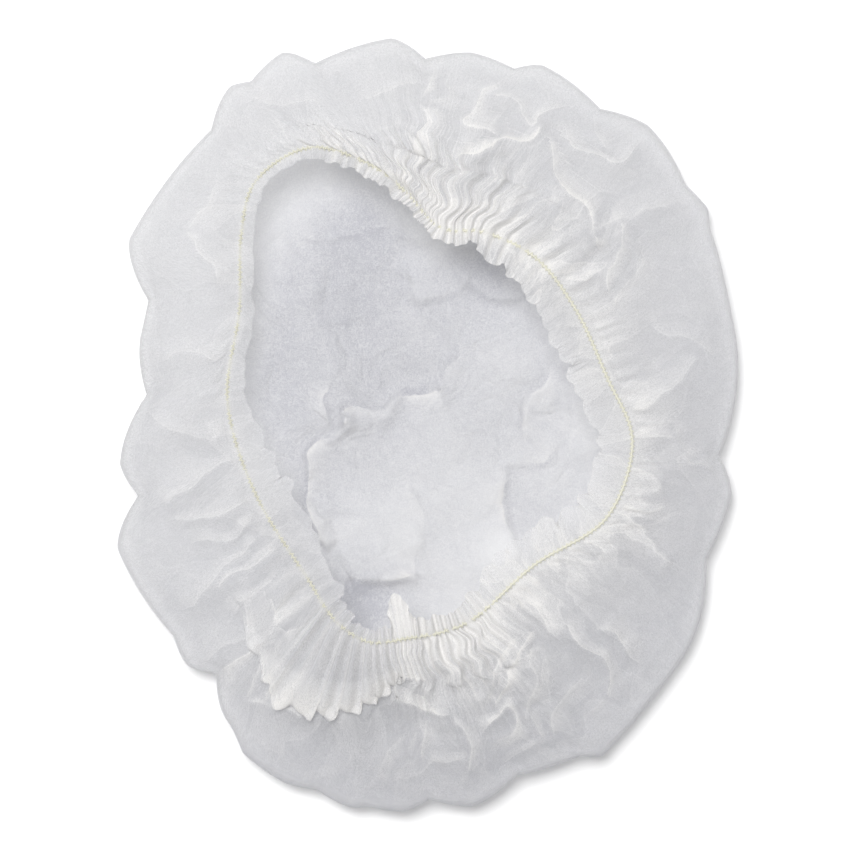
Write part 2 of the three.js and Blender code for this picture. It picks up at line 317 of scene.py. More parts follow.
# How the gathers differ round the opening. Each row is a stretch of the seam: degrees of the cloth where it
# begins, its count of pleats, how full the cloth is at the seam, how far out the gathers reach, how much the
# pleats sway from side to side, the frill's width, and how far the cloth is turned under into a shelf of
# tubes. Lengths are in mm.
BEGINS, PLEATS, FULL, REACH, SWAYS, FRILL, SHELF = range(7)
GATHERS = np.array([
    (-20, 13, 1.25, 18, 0.0, 16, 0.0),
    (22, 4, 1.3, 20, 0.0, 18, 0.0),
    (34, 6, 1.55, 32, 0.2, 14, 0.0),
    (61, 5, 1.85, 46, 0.7, 6, 0.0),
    (80, 10, 1.9, 50, 1.0, 4, 0.0),
    (104, 7, 1.75, 28, 0.4, 6, 0.0),
    (118, 7, 1.2, 18, 0.1, 5, 0.0),
    (133, 11, 1.15, 18, 0.0, 7, 0.0),
    (195, 5, 1.15, 22, 0.0, 18, 0.0),
    (224, 2, 1.3, 26, 0.0, 12, 0.6),
    (236, 2, 1.5, 34, 0.1, 8, 1.0),
    (247, 2, 1.6, 36, 0.1, 6, 1.0),
    (256, 2, 1.7, 36, 0.2, 6, 1.0),
    (262, 1, 1.9, 36, 0.3, 7, 0.9),
    (265, 2, 2.1, 38, 0.3, 24, 0.5),
    (269, 2, 2.1, 38, 0.4, 21, 0.4),
    (273, 1, 2.1, 40, 0.5, 8, 0.2),
    (275, 5, 2.0, 42, 0.7, 7, 0.0),
    (298, 10, 1.4, 24, 0.1, 15, 0.0),
])
row_from = np.radians(GATHERS[:, BEGINS])
row_to = np.append(row_from[1:], row_from[0] + TURN)


def round_the_opening(column, turn):
    """A column of the table as a function of the cloth's angle: each row's value at its middle, and between
    them a smooth step from one to the next."""
    middle = (row_from + row_to) / 2
    values = GATHERS[:, column]
    at = np.interp(middle[0] + np.mod(turn - middle[0], TURN), np.append(middle, middle[0] + TURN),
                   np.arange(len(middle) + 1))
    row = np.floor(at).astype(int)
    share = fade(at - row, 0, 1)
    return (1 - share) * values[row % len(values)] + share * values[(row + 1) % len(values)]


# The skeleton of the sheet, from its middle to the frill's edge: the share of the rings that lies before each
# station. A floor or fold station gives reach, height and share of the lobes. A top station gives the share
# of the way in to the seam, then for a shelf, where the cloth is turned under, that share counted from the
# rim to the shelf's edge (below 1) and on to the seam (above 1), its rise, and how far it leans along the
# seam. A frill station gives the share of its width.
FLOOR_STATIONS = np.array([
    (0.0, 0.0, 0.0, 0.0),
    (0.2, 0.3, 0.0, 0.0),
    (0.4, 0.6, 0.0, 0.0),
    (0.53, 0.81, 0.0, 0.1),
    (0.58, 0.9, 1.0, 0.35),
    (0.615, 0.965, 4.2, 0.75),
    (0.645, 1.0, 10.5, 1.0),
    (0.675, 0.99, 19.5, 0.95),
])
TOP_STATIONS = np.array([
    (0.71, 0.1, 0.3, 0.0, 0.0),
    (0.75, 0.24, 0.7, -1.0, 0.0),
    (0.79, 0.38, 1.15, -3.0, 0.0),
    (0.825, 0.5, 1.4, -4.0, 0.1),
    (0.855, 0.6, 1.22, -1.5, 0.6),
    (0.885, 0.71, 1.0, 2.0, 1.0),
    (0.91, 0.8, 1.3, 4.0, 0.75),
    (0.94, 0.91, 1.7, 3.0, 0.3),
    (0.965, 1.0, 2.0, 0.0, 0.0),
])
FRILL_STATIONS = np.array([(0.98, 0.45), (1.0, 1.0)])
FRILL_RISE = 2.0
SHELF_LEAN = 8.0
SHELF_FROM = 237  # degrees that the slant of the shelf's edge is counted from
SHELF_OUT = 0.27  # share of the way in from the rim to the shelf's edge there
SHELF_SLANT = 0.0182  # how much of that way the edge comes in with each degree


def smooth_round(values):
    """Values at even angles of a whole turn with their short waves damped, by a bell over their count, 12 to
    a turn."""
    waves = np.fft.rfft(values)
    return np.fft.irfft(waves * np.exp(-(np.arange(len(waves)) / 12.0) ** 2), len(values))


def skeleton(turn):
    """Places of every station at the given angles of the cloth, a whole turn in even steps."""
    oval = 1 / np.hypot(np.cos(turn) / OVAL_X, np.sin(turn) / OVAL_Y)
    reach, lift = fold_reach(turn)
    ray = np.stack([np.cos(turn), np.sin(turn), np.zeros_like(turn)], axis=-1)
    up = np.array([0.0, 0.0, 1.0])
    seam, inward = seam_frame(turn)
    frill = round_the_opening(FRILL, turn) * (1 + 0.1 * soft_noise(seam[:, 0], seam[:, 1], 11, 41))
    turned_under = round_the_opening(SHELF, turn)
    stations = []
    for out, height, lobes in FLOOR_STATIONS[:, 1:]:
        stations.append((out * (oval + lobes * (reach - oval)))[:, None] * ray + height * up)
    edge = stations[-1]
    degrees = np.mod(np.degrees(turn), 360)
    shelf_edge = np.clip(SHELF_OUT + SHELF_SLANT * (degrees - SHELF_FROM), 0.2, 0.82)
    calm = edge + ((smooth_round(reach) - reach) * FLOOR_STATIONS[-1, 1])[:, None] * ray
    along = np.stack([inward[:, 1], -inward[:, 0], 0 * turn], axis=-1)
    for share, over, under, shelf_rise, lean in TOP_STATIONS:
        under = np.where(under < 1, under * shelf_edge, shelf_edge + (under - 1) * (1 - shelf_edge))
        over = over + turned_under * (under - over)
        rise = PUFF * np.sin(np.pi * over) * (0.7 + 0.6 * lift * (1 - share)) + turned_under * shelf_rise
        rim = edge + fade(over, 0.05, 0.4)[:, None] * (calm - edge)
        leant = (SHELF_LEAN * lean * turned_under)[:, None] * along
        stations.append(rim + over[:, None] * (seam - rim) + rise[:, None] * up + leant)
    for across in FRILL_STATIONS[:, 1]:
        stations.append(seam + (across * frill)[:, None] * inward + (FRILL_RISE * across) * up)
    shares = np.concatenate([FLOOR_STATIONS[:, 0], TOP_STATIONS[:, 0], FRILL_STATIONS[:, 0]])
    return shares, np.array(stations)


def smooth_through(shares, places, at):
    """Smooth curves through the stations, one for each angle: a cubic between neighbours whose slope at each
    station is that of the line between the stations on either side."""
    slope = np.gradient(places, shares, axis=0)
    row = np.clip(np.searchsorted(shares, at, side="right") - 1, 0, len(shares) - 2)
    step = shares[row + 1] - shares[row]
    t = ((at - shares[row]) / step)[:, None, None]
    step = step[:, None, None]
    p, q, m, n = places[row], places[row + 1], slope[row] * step, slope[row + 1] * step
    return (2*t**3 - 3*t**2 + 1) * p + (t**3 - 2*t**2 + t) * m + (3*t**2 - 2*t**3) * q + (t**3 - t**2) * n


# Rings of the sheet in bands, each with twice the columns of the band inside it: columns, last share, rings.
BANDS = [
    (24, 0.03, 3),
    (48, 0.06, 4),
    (96, 0.12, 8),
    (192, 0.24, 16),
    (384, 0.60, 64),
    (768, 0.87, 40),
    (1536, 1.0, 25),
]
COLUMNS = 1536
ring_share = []
ring_columns = []
start = 0.0
for columns, last, rings in BANDS:
    ring_share.extend(start + (last - start) * (np.arange(rings) + 1) / rings)
    ring_columns.extend([columns] * rings)
    start = last
ring_share = np.array(ring_share)
ring_columns = np.array(ring_columns)

turn = np.arange(COLUMNS) * TURN / COLUMNS
shares, places = skeleton(turn)
base = smooth_through(shares, places, ring_share)

# Ledges of the floor, where a soft pillow of the cloth ends: its height, how far the pillow's gentle side
# reaches, and the points of its edge, in mm. The cloth falls off steeply on the right of that line.
PILLOW = 3.5
STEEP = 1.8
LEDGES = [
    (1.5, 16, [(-57, 93), (-42, 95.5), (-26, 97.5), (-13, 95.5), (-6, 91)]),
    (3, 16, [(-7, 67.5), (-4, 61), (3, 63), (12, 65.5), (18, 72)]),
    (1.2, 12, [(18, 71), (32, 65.5), (45, 64)]),
    (2.2, 12, [(13, 48.5), (14, 41), (16, 34), (11, 26.5)]),
    (5, 24, [(5, 17.5), (-15, 13), (-26, 10), (-39, 6.5)]),
    (3.5, 14, [(-52, 1), (-51, 7.5), (-48, 18.5)]),
    (4.5, 22, [(-41, 1), (-52, -8), (-59, -13.5), (-59, -28), (-58, -41.5), (-52, -57)]),
    (3, 14, [(61, 27.5), (58, 18.5), (52, 7.5), (49, -1.5)]),
    (3, 12, [(38, -21.5), (56, -19), (61, -14.5)]),
    (6, 26, [(44, -66), (42, -57), (41, -46), (38, -37), (42, -28), (38, -21.5)]),
    (2.2, 14, [(-6, -77), (-5, -63.5), (-2, -52.5), (-4, -37)]),
    (4, 20, [(-33, -80), (-19, -78), (-6, -77)]),
    (1.2, 10, [(67, 34), (76, 7.5), (72, -10)]),
]
FAR = 60.0  # mm from a fold or ledge, further than it shows


def rounded(line):
    """A line of points with its corners cut off twice, a quarter of the way from each to the next."""
    line = np.array(line, dtype=float)
    for _ in range(2):
        quarter, later = 0.75 * line[:-1] + 0.25 * line[1:], 0.25 * line[:-1] + 0.75 * line[1:]
        line = np.concatenate([line[:1], np.stack([quarter, later], axis=1).reshape(-1, 2)[1:-1], line[-1:]])
    return line


def beside_line(x, y, line):
    """Distance of each place from a line of points, more than 0 on its left and less on its right, FAR at
    most, and a share that fades out past the line's ends, as a bell 7 mm wide."""
    line = rounded(line)
    beside, share = np.full(x.shape, FAR), np.ones(x.shape)
    low, high = line.min(axis=0) - FAR, line.max(axis=0) + FAR
    close = (x > low[0]) & (x < high[0]) & (y > low[1]) & (y < high[1])
    px, py, best = x[close], y[close], beside[close]
    for (x0, y0), (x1, y1) in zip(line, line[1:]):
        dx, dy = x1 - x0, y1 - y0
        along = np.clip(((px - x0) * dx + (py - y0) * dy) / (dx ** 2 + dy ** 2), 0, 1)
        away = np.hypot(px - x0 - along * dx, py - y0 - along * dy)
        side = np.where(dx * (py - y0) - dy * (px - x0) < 0, -1.0, 1.0)
        best = np.where(away < np.abs(best), side * away, best)
    beside[close] = best
    for (x0, y0), (x1, y1) in ((line[1], line[0]), (line[-2], line[-1])):
        past = ((x - x1) * (x1 - x0) + (y - y1) * (y1 - y0)) / np.hypot(x1 - x0, y1 - y0)
        share *= np.exp(-(np.maximum(past, 0) / 7) ** 2)
    return beside, share


def nearest_line(x, y, lines):
    """The distance of each place to the nearest of the lines, by side, and that line's height there, which
    fades out where a second line is as near."""
    nearest, second, height = np.full(x.shape, FAR), np.full(x.shape, FAR), np.zeros_like(x)
    for most, _, line in lines:
        beside, share = beside_line(x, y, line)
        away = np.where(share > 0.2, np.abs(beside), FAR)
        closer = np.abs(beside) < np.abs(nearest)
        second = np.where(closer, np.abs(nearest), np.minimum(second, away))
        nearest, height = np.where(closer, beside, nearest), np.where(closer, most * share, height)
    return nearest, height * fade(second - np.abs(nearest), 0, 4)


def bent(x, y):
    """Places shifted a little by soft noise of two sizes, so that straight lines wander as folds do."""
    dx = 1.4 * soft_noise(x, y, 28, 21) + 0.35 * soft_noise(x, y, 10, 24)
    dy = 1.4 * soft_noise(x, y, 28, 22) + 0.35 * soft_noise(x, y, 10, 25)
    return x + dx, y + dy


def ledges(x, y):
    """Height of the floor: soft pillows, and on each ledge a slope that falls by a power of e over the gentle
    side and as a narrow bell over the steep side."""
    height = PILLOW * (0.8 + 0.4 * soft_noise(x, y, 70, 5))
    uneven = np.clip(0.75 + 0.5 * soft_noise(x, y, 30, 23), 0.1, 1.5)
    for most, width, line in LEDGES:
        beside, share = beside_line(x, y, line)
        slope = np.where(beside > 0, np.exp(-beside / width), np.exp(-(beside / STEEP) ** 2))
        height += most * share * slope * (1 + (uneven - 1) * np.exp(-np.abs(beside) / 12))
    return height


x, y = base[..., 0], base[..., 1]
on_floor = 1 - fade(ring_share, 0.36, 0.54)[:, None]
base[..., 2] += on_floor * np.maximum(ledges(*bent(x, y)), 0)

# Folds that stand up on the gathered top: the crest's height and half width, then the points of its line, all
# in mm.
FOLDS = [
    (3, 3, [(1, 182), (3, 168), (0, 158), (3, 150), (-5, 138)]),
    (1.5, 2, [(15, 178), (9, 171), (12, 164), (0, 157)]),
    (3, 3.5, [(39, 172), (28, 166), (27, 160), (17, 152), (18, 150), (35, 140)]),
    (2.5, 2.5, [(36, 161), (46, 156), (52, 150), (57, 150), (58, 154), (65, 156)]),
    (4, 4, [(23, 132), (34, 132), (39, 140), (52, 140), (57, 147)]),
    (3.5, 4.5, [(60, 135), (66, 116), (75, 108), (83, 102), (84, 90)]),
    (2.5, 3, [(70, 140), (79, 134), (88, 130), (99, 132), (113, 142)]),
    (1.8, 3, [(82, 154), (84, 145), (88, 140)]),
    (2.5, 3, [(96, 97), (94, 84), (90, 79), (91, 68)]),
    (2, 2.5, [(105, 82), (101, 68), (95, 62)]),
    (1.5, 4, [(87, 97), (115, 107), (127, 110)]),
    (1.5, 3, [(117, 47), (132, 40), (139, 36)]),
    (1.5, 3, [(101, 7), (120, 16), (132, 29)]),
    (1.5, 2.5, [(107, -8), (121, -6), (132, -14)]),
    (1.5, 2.5, [(125, -6), (129, -18), (137, -23)]),
    (1.8, 2.5, [(117, -40), (107, -44), (95, -40)]),
    (2, 2.5, [(121, -66), (112, -60), (103, -49)]),
    (3.5, 4, [(-54, -81), (-63, -80), (-72, -88), (-76, -102), (-79, -106), (-94, -116), (-102, -127)]),
    (2.5, 3, [(-49, -92), (-63, -100), (-72, -110)]),
    (2, 3, [(-75, -114), (-75, -129), (-77, -139)]),
    (2, 3, [(-79, -114), (-85, -127), (-89, -136)]),
    (1.5, 4, [(-115, -121), (-103, -112), (-89, -102)]),
    (2.5, 4.5, [(-101, -80), (-86, -71), (-73, -60)]),
    (1.8, 5, [(-93, -94), (-76, -76)]),
    (1.8, 5, [(-118, -88), (-100, -73), (-85, -58)]),
    (1.2, 2, [(-49, -168), (-54, -180)]),
    (2, 2.5, [(-12, -155), (-17, -166), (-23, -176)]),
    (1.5, 2.5, [(-6, -152), (-9, -160)]),
    (2, 3, [(41, -109), (31, -124), (30, -133)]),
    (3, 3.5, [(51, -104), (41, -123), (35, -136)]),
    (2.2, 2.5, [(54, -110), (51, -128), (49, -144)]),
    (2, 3, [(52, -88), (57, -99), (61, -104)]),
    (3, 3.5, [(71, -102), (82, -112), (92, -122), (91, -128)]),
    (2.5, 3, [(89, -102), (96, -108), (101, -112)]),
    (2.2, 3, [(74, -130), (65, -144), (63, -152)]),
    (1.5, 2.5, [(86, -134), (82, -142)]),
    (2.8, 3, [(32, -147), (40, -138), (45, -142), (38, -158), (32, -168)]),
    (1.8, 2.5, [(52, -144), (56, -152), (57, -156)]),
    (2.8, 3, [(14, -144), (15, -150), (21, -161), (21, -174)]),
    (2.5, 3, [(-13, -138), (0, -134), (6, -142), (14, -144)]),
    (2, 2.5, [(-2, -144), (-1, -150), (-3, -166)]),
    (2, 2.5, [(-13, -175), (17, -162)]),
    (2, 3, [(41, -166), (52, -156), (63, -154)]),
    (1.5, 2.5, [(18, -182), (26, -170)]),
    (1.5, 2.5, [(-28, 162), (-8, 166)]),
    (1.5, 3, [(-85, 159), (-68, 162), (-58, 156)]),
    (2, 4, [(-118, 94), (-110, 84), (-105, 72)]),
    (1.8, 4, [(-105, 117), (-111, 104), (-117, 96)]),
    (1.5, 4, [(-128, 32), (-113, 37), (-99, 34)]),
    (1.5, 4, [(-133, 2), (-115, -8), (-100, -6)]),
    (2, 3.5, [(-125, -40), (-110, -23), (-99, -19)]),
    (1.8, 3.5, [(-123, -48), (-105, -48), (-88, -38)]),
    (1.8, 3, [(-110, -60), (-95, -53), (-84, -48)]),
    (2.2, 2.5, [(-89, -137), (-76, -143), (-72, -140), (-67, -139), (-59, -144), (-54, -137),
                (-49, -136), (-43, -144)]),
]
CREST_ROUND = 1.2  # mm over which a crest is rounded


def folds(x, y):
    """Height that the folds add: each falls off by a power of e with each half width, and is rounded at its
    crest."""
    height = np.zeros_like(x)
    for most, width, line in FOLDS:
        beside, share = beside_line(x, y, line)
        off_crest = np.hypot(beside, CREST_ROUND) - CREST_ROUND
        height = np.maximum(height, most * share * np.exp(-off_crest / width))
    return height


on_top = fade(ring_share, 0.62, 0.66)[:, None]
ROLL = 0.8
folded = fade(ring_share, 0.68, 0.74)[:, None] * (1 - fade(ring_share, 0.92, 0.96)[:, None])
base[..., 2] += folded * (folds(*bent(x, y)) + ROLL * soft_noise(x, y, 42, 8))

# Places where the cloth is slack and crumples: x, y, how far that reaches, and how much longer the cloth is
# there.
SLACK = np.array([
    (67, 127, 36, 0.05),
    (92, 97, 26, 0.05),
    (32, 162, 26, 0.04),
    (-88, -73, 32, 0.03),
    (7, -158, 38, 0.04),
    (67, -133, 38, 0.05),
    (97, -108, 30, 0.05),
    (117, -28, 28, 0.03),
])
slack = sum(more * np.exp(-((x - sx) ** 2 + (y - sy) ** 2) / size ** 2) for sx, sy, size, more in SLACK)

draw = np.random.default_rng(11)
pleat_edges = []
for begin, end, count in zip(row_from, row_to, GATHERS[:, PLEATS].astype(int)):
    width = draw.uniform(0.45, 1.55, count)
    pleat_edges.extend(begin + (end - begin) * np.concatenate([[0.0], np.cumsum(width)[:-1]]) / width.sum())
pleat_edges = np.append(pleat_edges, pleat_edges[0] + TURN)
from_first = pleat_edges[0] + np.mod(turn - pleat_edges[0], TURN)
pleat_at = np.interp(from_first, pleat_edges, np.arange(len(pleat_edges)))
pleat_step = np.interp(from_first, pleat_edges[:-1], np.diff(pleat_edges))

middle = base[:1].mean(axis=1, keepdims=True).repeat(COLUMNS, axis=1)
steps = np.linalg.norm(np.diff(np.concatenate([middle, base]), axis=0), axis=2)
way = np.cumsum(steps, axis=0)
seam_row = np.argmin(np.abs(ring_share - TOP_STATIONS[-1, 0]))
from_seam = way[seam_row] - way
outside = np.maximum(from_seam, 0)
near_seam = np.exp(-(outside / round_the_opening(REACH, turn)) ** 2)
bunch = round_the_opening(SWAYS, turn) * near_seam
turned_under = round_the_opening(SHELF, turn)

# How long the cloth is along each step, outwards and round, against the smooth form that it lies on.
SWAY_SLACK = 0.65
along_step = steps * (1 + SWAY_SLACK * bunch + slack)
flat_radius = np.cumsum(along_step, axis=0)
base_step = np.linalg.norm(np.roll(base, -1, axis=1) - np.roll(base, 1, axis=1), axis=2) / 2
narrow = 1 - 0.65 * fade(round_the_opening(FRILL, turn), 8, 16)
gathered = on_top * (round_the_opening(FULL, turn) - 1) * near_seam
full = 1 + slack + gathered * np.where(from_seam < 0, narrow, 1.0)
PLEAT_DEPTH = 0.7
round_step = base_step * np.sqrt(1 + 1.23 * PLEAT_DEPTH ** 2 * (full ** 2 - 1))

# The pleats' first shape: waves whose length is that of the cloth, two and then four of them joining on the
# way out.
pleat_width = base_step * pleat_step * COLUMNS / TURN
deep = pleat_width / 4 * np.sqrt(np.maximum(full - slack, 1) ** 2 - 1)
shelf = turned_under * fade(ring_share, 0.82, 0.85)[:, None]
near = np.maximum(1 - fade(outside, 12, 30), shelf)
mid = fade(outside, 10, 26) * (1 - fade(outside, 32, 50)) * (1 - turned_under)
wide = fade(outside, 28, 46) * (1 - fade(outside, 60, 85)) * (1 - turned_under)
wave = near * np.sin(TURN * pleat_at) + 2 * mid * np.sin(np.pi * pleat_at + 0.7)
wave += 4 * wide * np.sin(np.pi / 2 * pleat_at)
wave *= np.where(from_seam < 0, (0.9 + 0.6 * turned_under) * narrow, 1 + 1.6 * shelf)
wave *= PLEAT_DEPTH * deep * on_top

across = np.roll(base, -1, axis=1) - np.roll(base, 1, axis=1)
across /= np.linalg.norm(across, axis=2, keepdims=True)
onward = np.gradient(base, axis=0)
facing = np.cross(onward, across)
facing /= np.linalg.norm(facing, axis=2, keepdims=True)
outward = np.cross(across, (0.0, 0.0, 1.0))
sheet = base + wave[..., None] * facing
LEAN = 0.12
lean = -LEAN * pleat_width * fade(full, 1.6, 2.6) * near * np.sin(2 * TURN * pleat_at)
SWAY = 4.5
SWAY_LENGTH = 17.0
sway_at = TURN * from_seam / SWAY_LENGTH + 0.9 * soft_noise(x, y, 30, 31)
lean += SWAY * bunch * fade(outside, 0, 6) * np.sin(sway_at)
sheet += lean[..., None] * across
TUBE_WAVE = 4.6
TUBE_SKEW = 0.7
at_shelf_edge = shelf * (1 - fade(ring_share, 0.89, 0.96)[:, None])
tube_wave = np.sin(TURN * pleat_at - TUBE_SKEW * np.sin(TURN * pleat_at))
sheet += (TUBE_WAVE * at_shelf_edge * tube_wave)[..., None] * outward
crumple = np.abs(soft_noise(x, y, 40, 3)) - np.abs(soft_noise(x, y, 34, 4))
CRUMPLE = 22
LOWEST = 0.2  # the cloth's height in mm where it lies on the floor
sheet[..., 2] += CRUMPLE * slack * on_top * crumple
sheet[..., 2] = np.maximum(sheet[..., 2], LOWEST)


def ring_points(grid):
    """The grid's points with each ring thinned to its own count of columns, in one row, after the middle. A
    value for each column or each ring stands for a whole grid of them."""
    if grid.ndim < 3:
        grid = np.broadcast_to(grid, from_seam.shape)
    rows = [row[:: COLUMNS // columns] for row, columns in zip(grid, ring_columns)]
    return np.concatenate([grid[0].mean(axis=0, keepdims=True)] + rows)


ring_first = 1 + np.concatenate([[0], np.cumsum(ring_columns)])


def ring_faces():
    """Faces between neighbouring rings: four-sided where they have as many columns, else three three-sided
    ones to each column of the coarser ring, and a fan round the middle."""
    faces = []
    k = np.arange(ring_columns[0])
    faces.extend(np.stack([0 * k, 1 + (k + 1) % len(k), 1 + k], axis=1).tolist())
    for r in range(len(ring_columns) - 1):
        n, m = ring_columns[r], ring_columns[r + 1]
        k = np.arange(n)
        a, b = ring_first[r] + k, ring_first[r] + (k + 1) % n
        if n == m:
            c, d = ring_first[r + 1] + (k + 1) % n, ring_first[r + 1] + k
            faces.extend(np.stack([a, b, c, d], axis=1).tolist())
        else:
            c, d, e = (ring_first[r + 1] + (2 * k + s) % m for s in (0, 1, 2))
            for corners in ((a, d, c), (a, b, d), (b, e, d)):
                faces.extend(np.stack(corners, axis=1).tolist())
    return faces


faces = ring_faces()
points = ring_points(sheet)
base_points = ring_points(base)
facing_points = ring_points(facing)
column_points = ring_points(np.arange(COLUMNS, dtype=float))
radius_points = ring_points(flat_radius)
round_points = ring_points(round_step)
seam_points = ring_points(from_seam)
bunch_points = ring_points(np.maximum(bunch, shelf))
shelf_points = ring_points(shelf)
reach_points = ring_points(round_the_opening(REACH, turn))
share_points = np.concatenate([[0.0], np.repeat(ring_share, ring_columns)])
ring_radius = np.vstack([np.zeros(COLUMNS), flat_radius])
ring_of = np.concatenate([[0], np.repeat(np.arange(len(ring_columns)) + 1, ring_columns)])
radius_points[0] = 0.0
round_points[0] = 0.0


def cloth_distance(pairs):
    """Distance of each pair on the flat cloth: columns apart times the cloth's step round, and the way out
    from one ring to the other, as a mean of both columns."""
    i, j = pairs.T
    columns = np.abs(column_points[i] - column_points[j])
    columns = np.minimum(columns, COLUMNS - columns)
    at_i, at_j = column_points[i].astype(int), column_points[j].astype(int)
    out = [np.abs(ring_radius[ring_of[i], at] - ring_radius[ring_of[j], at]) for at in (at_i, at_j)]
    return np.hypot(columns * (round_points[i] + round_points[j]) / 2, (out[0] + out[1]) / 2)


def ties(faces):
    """Pairs of points that the cloth holds at their distance: every edge and both diagonals of each face."""
    pairs = []
    four = np.array([f for f in faces if len(f) == 4])
    three = np.array([f for f in faces if len(f) == 3])
    for a, b in ((0, 1), (1, 2), (2, 3), (3, 0), (0, 2), (1, 3)):
        pairs.append(four[:, [a, b]])
    for a, b in ((0, 1), (1, 2), (2, 0)):
        pairs.append(three[:, [a, b]])
    return np.unique(np.sort(np.concatenate(pairs), axis=1), axis=0)


def ring_bends(apart):
    """Pairs of points some columns apart on the same ring."""
    pairs = []
    for r, n in enumerate(ring_columns):
        k = np.arange(n)
        pairs.append(np.stack([ring_first[r] + k, ring_first[r] + (k + apart) % n], axis=1))
    return np.concatenate(pairs)


def column_bends(apart):
    """Pairs of points some rings apart on the same column, inside a band."""
    pairs = []
    for r, n in enumerate(ring_columns[:-apart]):
        if ring_columns[r + apart] == n:
            k = np.arange(n)
            pairs.append(np.stack([ring_first[r] + k, ring_first[r + apart] + k], axis=1))
    return np.concatenate(pairs)


def settle(place, pairs, bends, stiff, hold, hold_to, low, high, rounds):
    """Lets the cloth find its folds. Round after round, each pair of neighbours moves back to its flat
    distance, pairs further apart resist being folded close, held points move back to their places, and all
    points stay between the low and the high surface."""
    place = place.copy()
    count = len(place)
    i, j = pairs.T
    bi, bj = bends.T
    rest = cloth_distance(pairs)
    bend_rest = 0.8 * cloth_distance(bends)
    ends = np.concatenate([i, j, bi, bj])
    share = 1.3 / np.bincount(np.concatenate([i, j]), minlength=count)[:, None]
    for _ in range(rounds):
        line = place[j] - place[i]
        length = np.linalg.norm(line, axis=1) + 1e-9
        off = 1 - rest / length
        off = np.where(off < 0, 0.5 * off, off)
        move = np.clip(0.5 * off, -0.5, 0.5)[:, None] * line
        bend = place[bj] - place[bi]
        bend_length = np.linalg.norm(bend, axis=1) + 1e-9
        fold = np.clip(1 - bend_rest / bend_length, -1, 0) * stiff
        bend_move = (0.5 * fold)[:, None] * bend
        moves = np.concatenate([move, -move, bend_move, -bend_move])
        total = np.stack([np.bincount(ends, weights=moves[:, k], minlength=count) for k in range(3)], axis=1)
        place += share * total
        place += hold[:, None] * (hold_to - place)
        place[:, 2] = np.clip(place[:, 2], low, high)
    return place


top = fade(share_points, 0.64, 0.72)
at_seam = np.exp(-(seam_points / 2.0) ** 2)
LOOSE_HOLD = 0.004  # how far each round takes a loose point back to its place
FOLD_HOLD = 0.05  # the same on the outer fold
GATHER_HOLD = 0.05
SEAM_HOLD = 0.15
hold = np.where((share_points > 0.6) & (share_points < 0.67), FOLD_HOLD, LOOSE_HOLD)
hold = np.where(share_points < 0.55, 1.0, hold)
hold = np.maximum(hold, np.maximum(GATHER_HOLD * bunch_points, SEAM_HOLD * at_seam))
hold_to = base_points + np.clip(2 * bunch_points, 0, 1)[:, None] * (points - base_points)
low = np.maximum(base_points[:, 2] - 6 * top - 0.8, LOWEST)
high = base_points[:, 2] + 1.2 + (3.0 + 2.5 * bunch_points) * top * (1 - at_seam) - 1.0 * at_seam
near_bends = np.concatenate([ring_bends(2), column_bends(2)])
far_bends = np.concatenate([ring_bends(6), ring_bends(14), column_bends(5)])
bends = np.concatenate([near_bends, far_bends])
stiff = np.repeat([0.1, 0.3], [len(near_bends), len(far_bends)])
stiff[len(near_bends):] *= fade(seam_points[far_bends].mean(axis=1), 12, 34)
stiff[len(near_bends):] *= 1 - shelf_points[far_bends].max(axis=1)
SETTLE_ROUNDS = 200
points = settle(points, ties(faces), bends, stiff, hold, hold_to, low, high, SETTLE_ROUNDS)


def evened(shift, share):
    """A shift of the points with its short waves round each ring taken out, by the share that each point has:
    the ring's waves are damped by a bell over their count, about forty to a turn."""
    calm = shift.copy()
    for r, n in enumerate(ring_columns):
        ring = slice(ring_first[r], ring_first[r] + n)
        waves = np.fft.rfft(shift[ring], axis=0)
        waves *= np.exp(-(np.arange(len(waves)) / 40.0) ** 2)[:, None]
        calm[ring] = np.fft.irfft(waves, n, axis=0)
    return shift + share[:, None] * (calm - shift)


even_share = 0.95 * fade(seam_points / reach_points, 0.5, 1.2) * top * (1 - shelf_points)
points = base_points + evened(points - base_points, even_share)


def eased(points, share, rounds):
    """The points of the last band with the corners of their pleats softened along their length, by the share
    that each point has: each moves to a mean of itself, twice, and its two neighbours on the column."""
    rings = BANDS[-1][2]
    band = points[-rings * COLUMNS:].reshape(rings, COLUMNS, 3).copy()
    weight = share[-rings * COLUMNS:].reshape(rings, COLUMNS, 1)[1:-1]
    for _ in range(rounds):
        band[1:-1] += weight * (0.25 * (band[:-2] + band[2:]) - 0.5 * band[1:-1])
    return np.concatenate([points[:-rings * COLUMNS], band.reshape(-1, 3)])


points = eased(points, np.clip(3 * bunch_points, 0, 1) * (1 - at_seam), 4)


def point_normals(points, faces):
    """The cloth's direction at each point: the sum of the crossed diagonals of the faces round it."""
    corners = np.array([f if len(f) == 4 else f + f[-1:] for f in faces])
    a, b, c, d = (points[corners[:, k]] for k in range(4))
    square = np.cross(c - a, d - b)
    total = np.zeros_like(points)
    for k in range(3):
        for axis in range(3):
            total[:, axis] += np.bincount(corners[:, k], weights=square[:, axis], minlength=len(points))
    return total / (np.linalg.norm(total, axis=1, keepdims=True) + 1e-12)


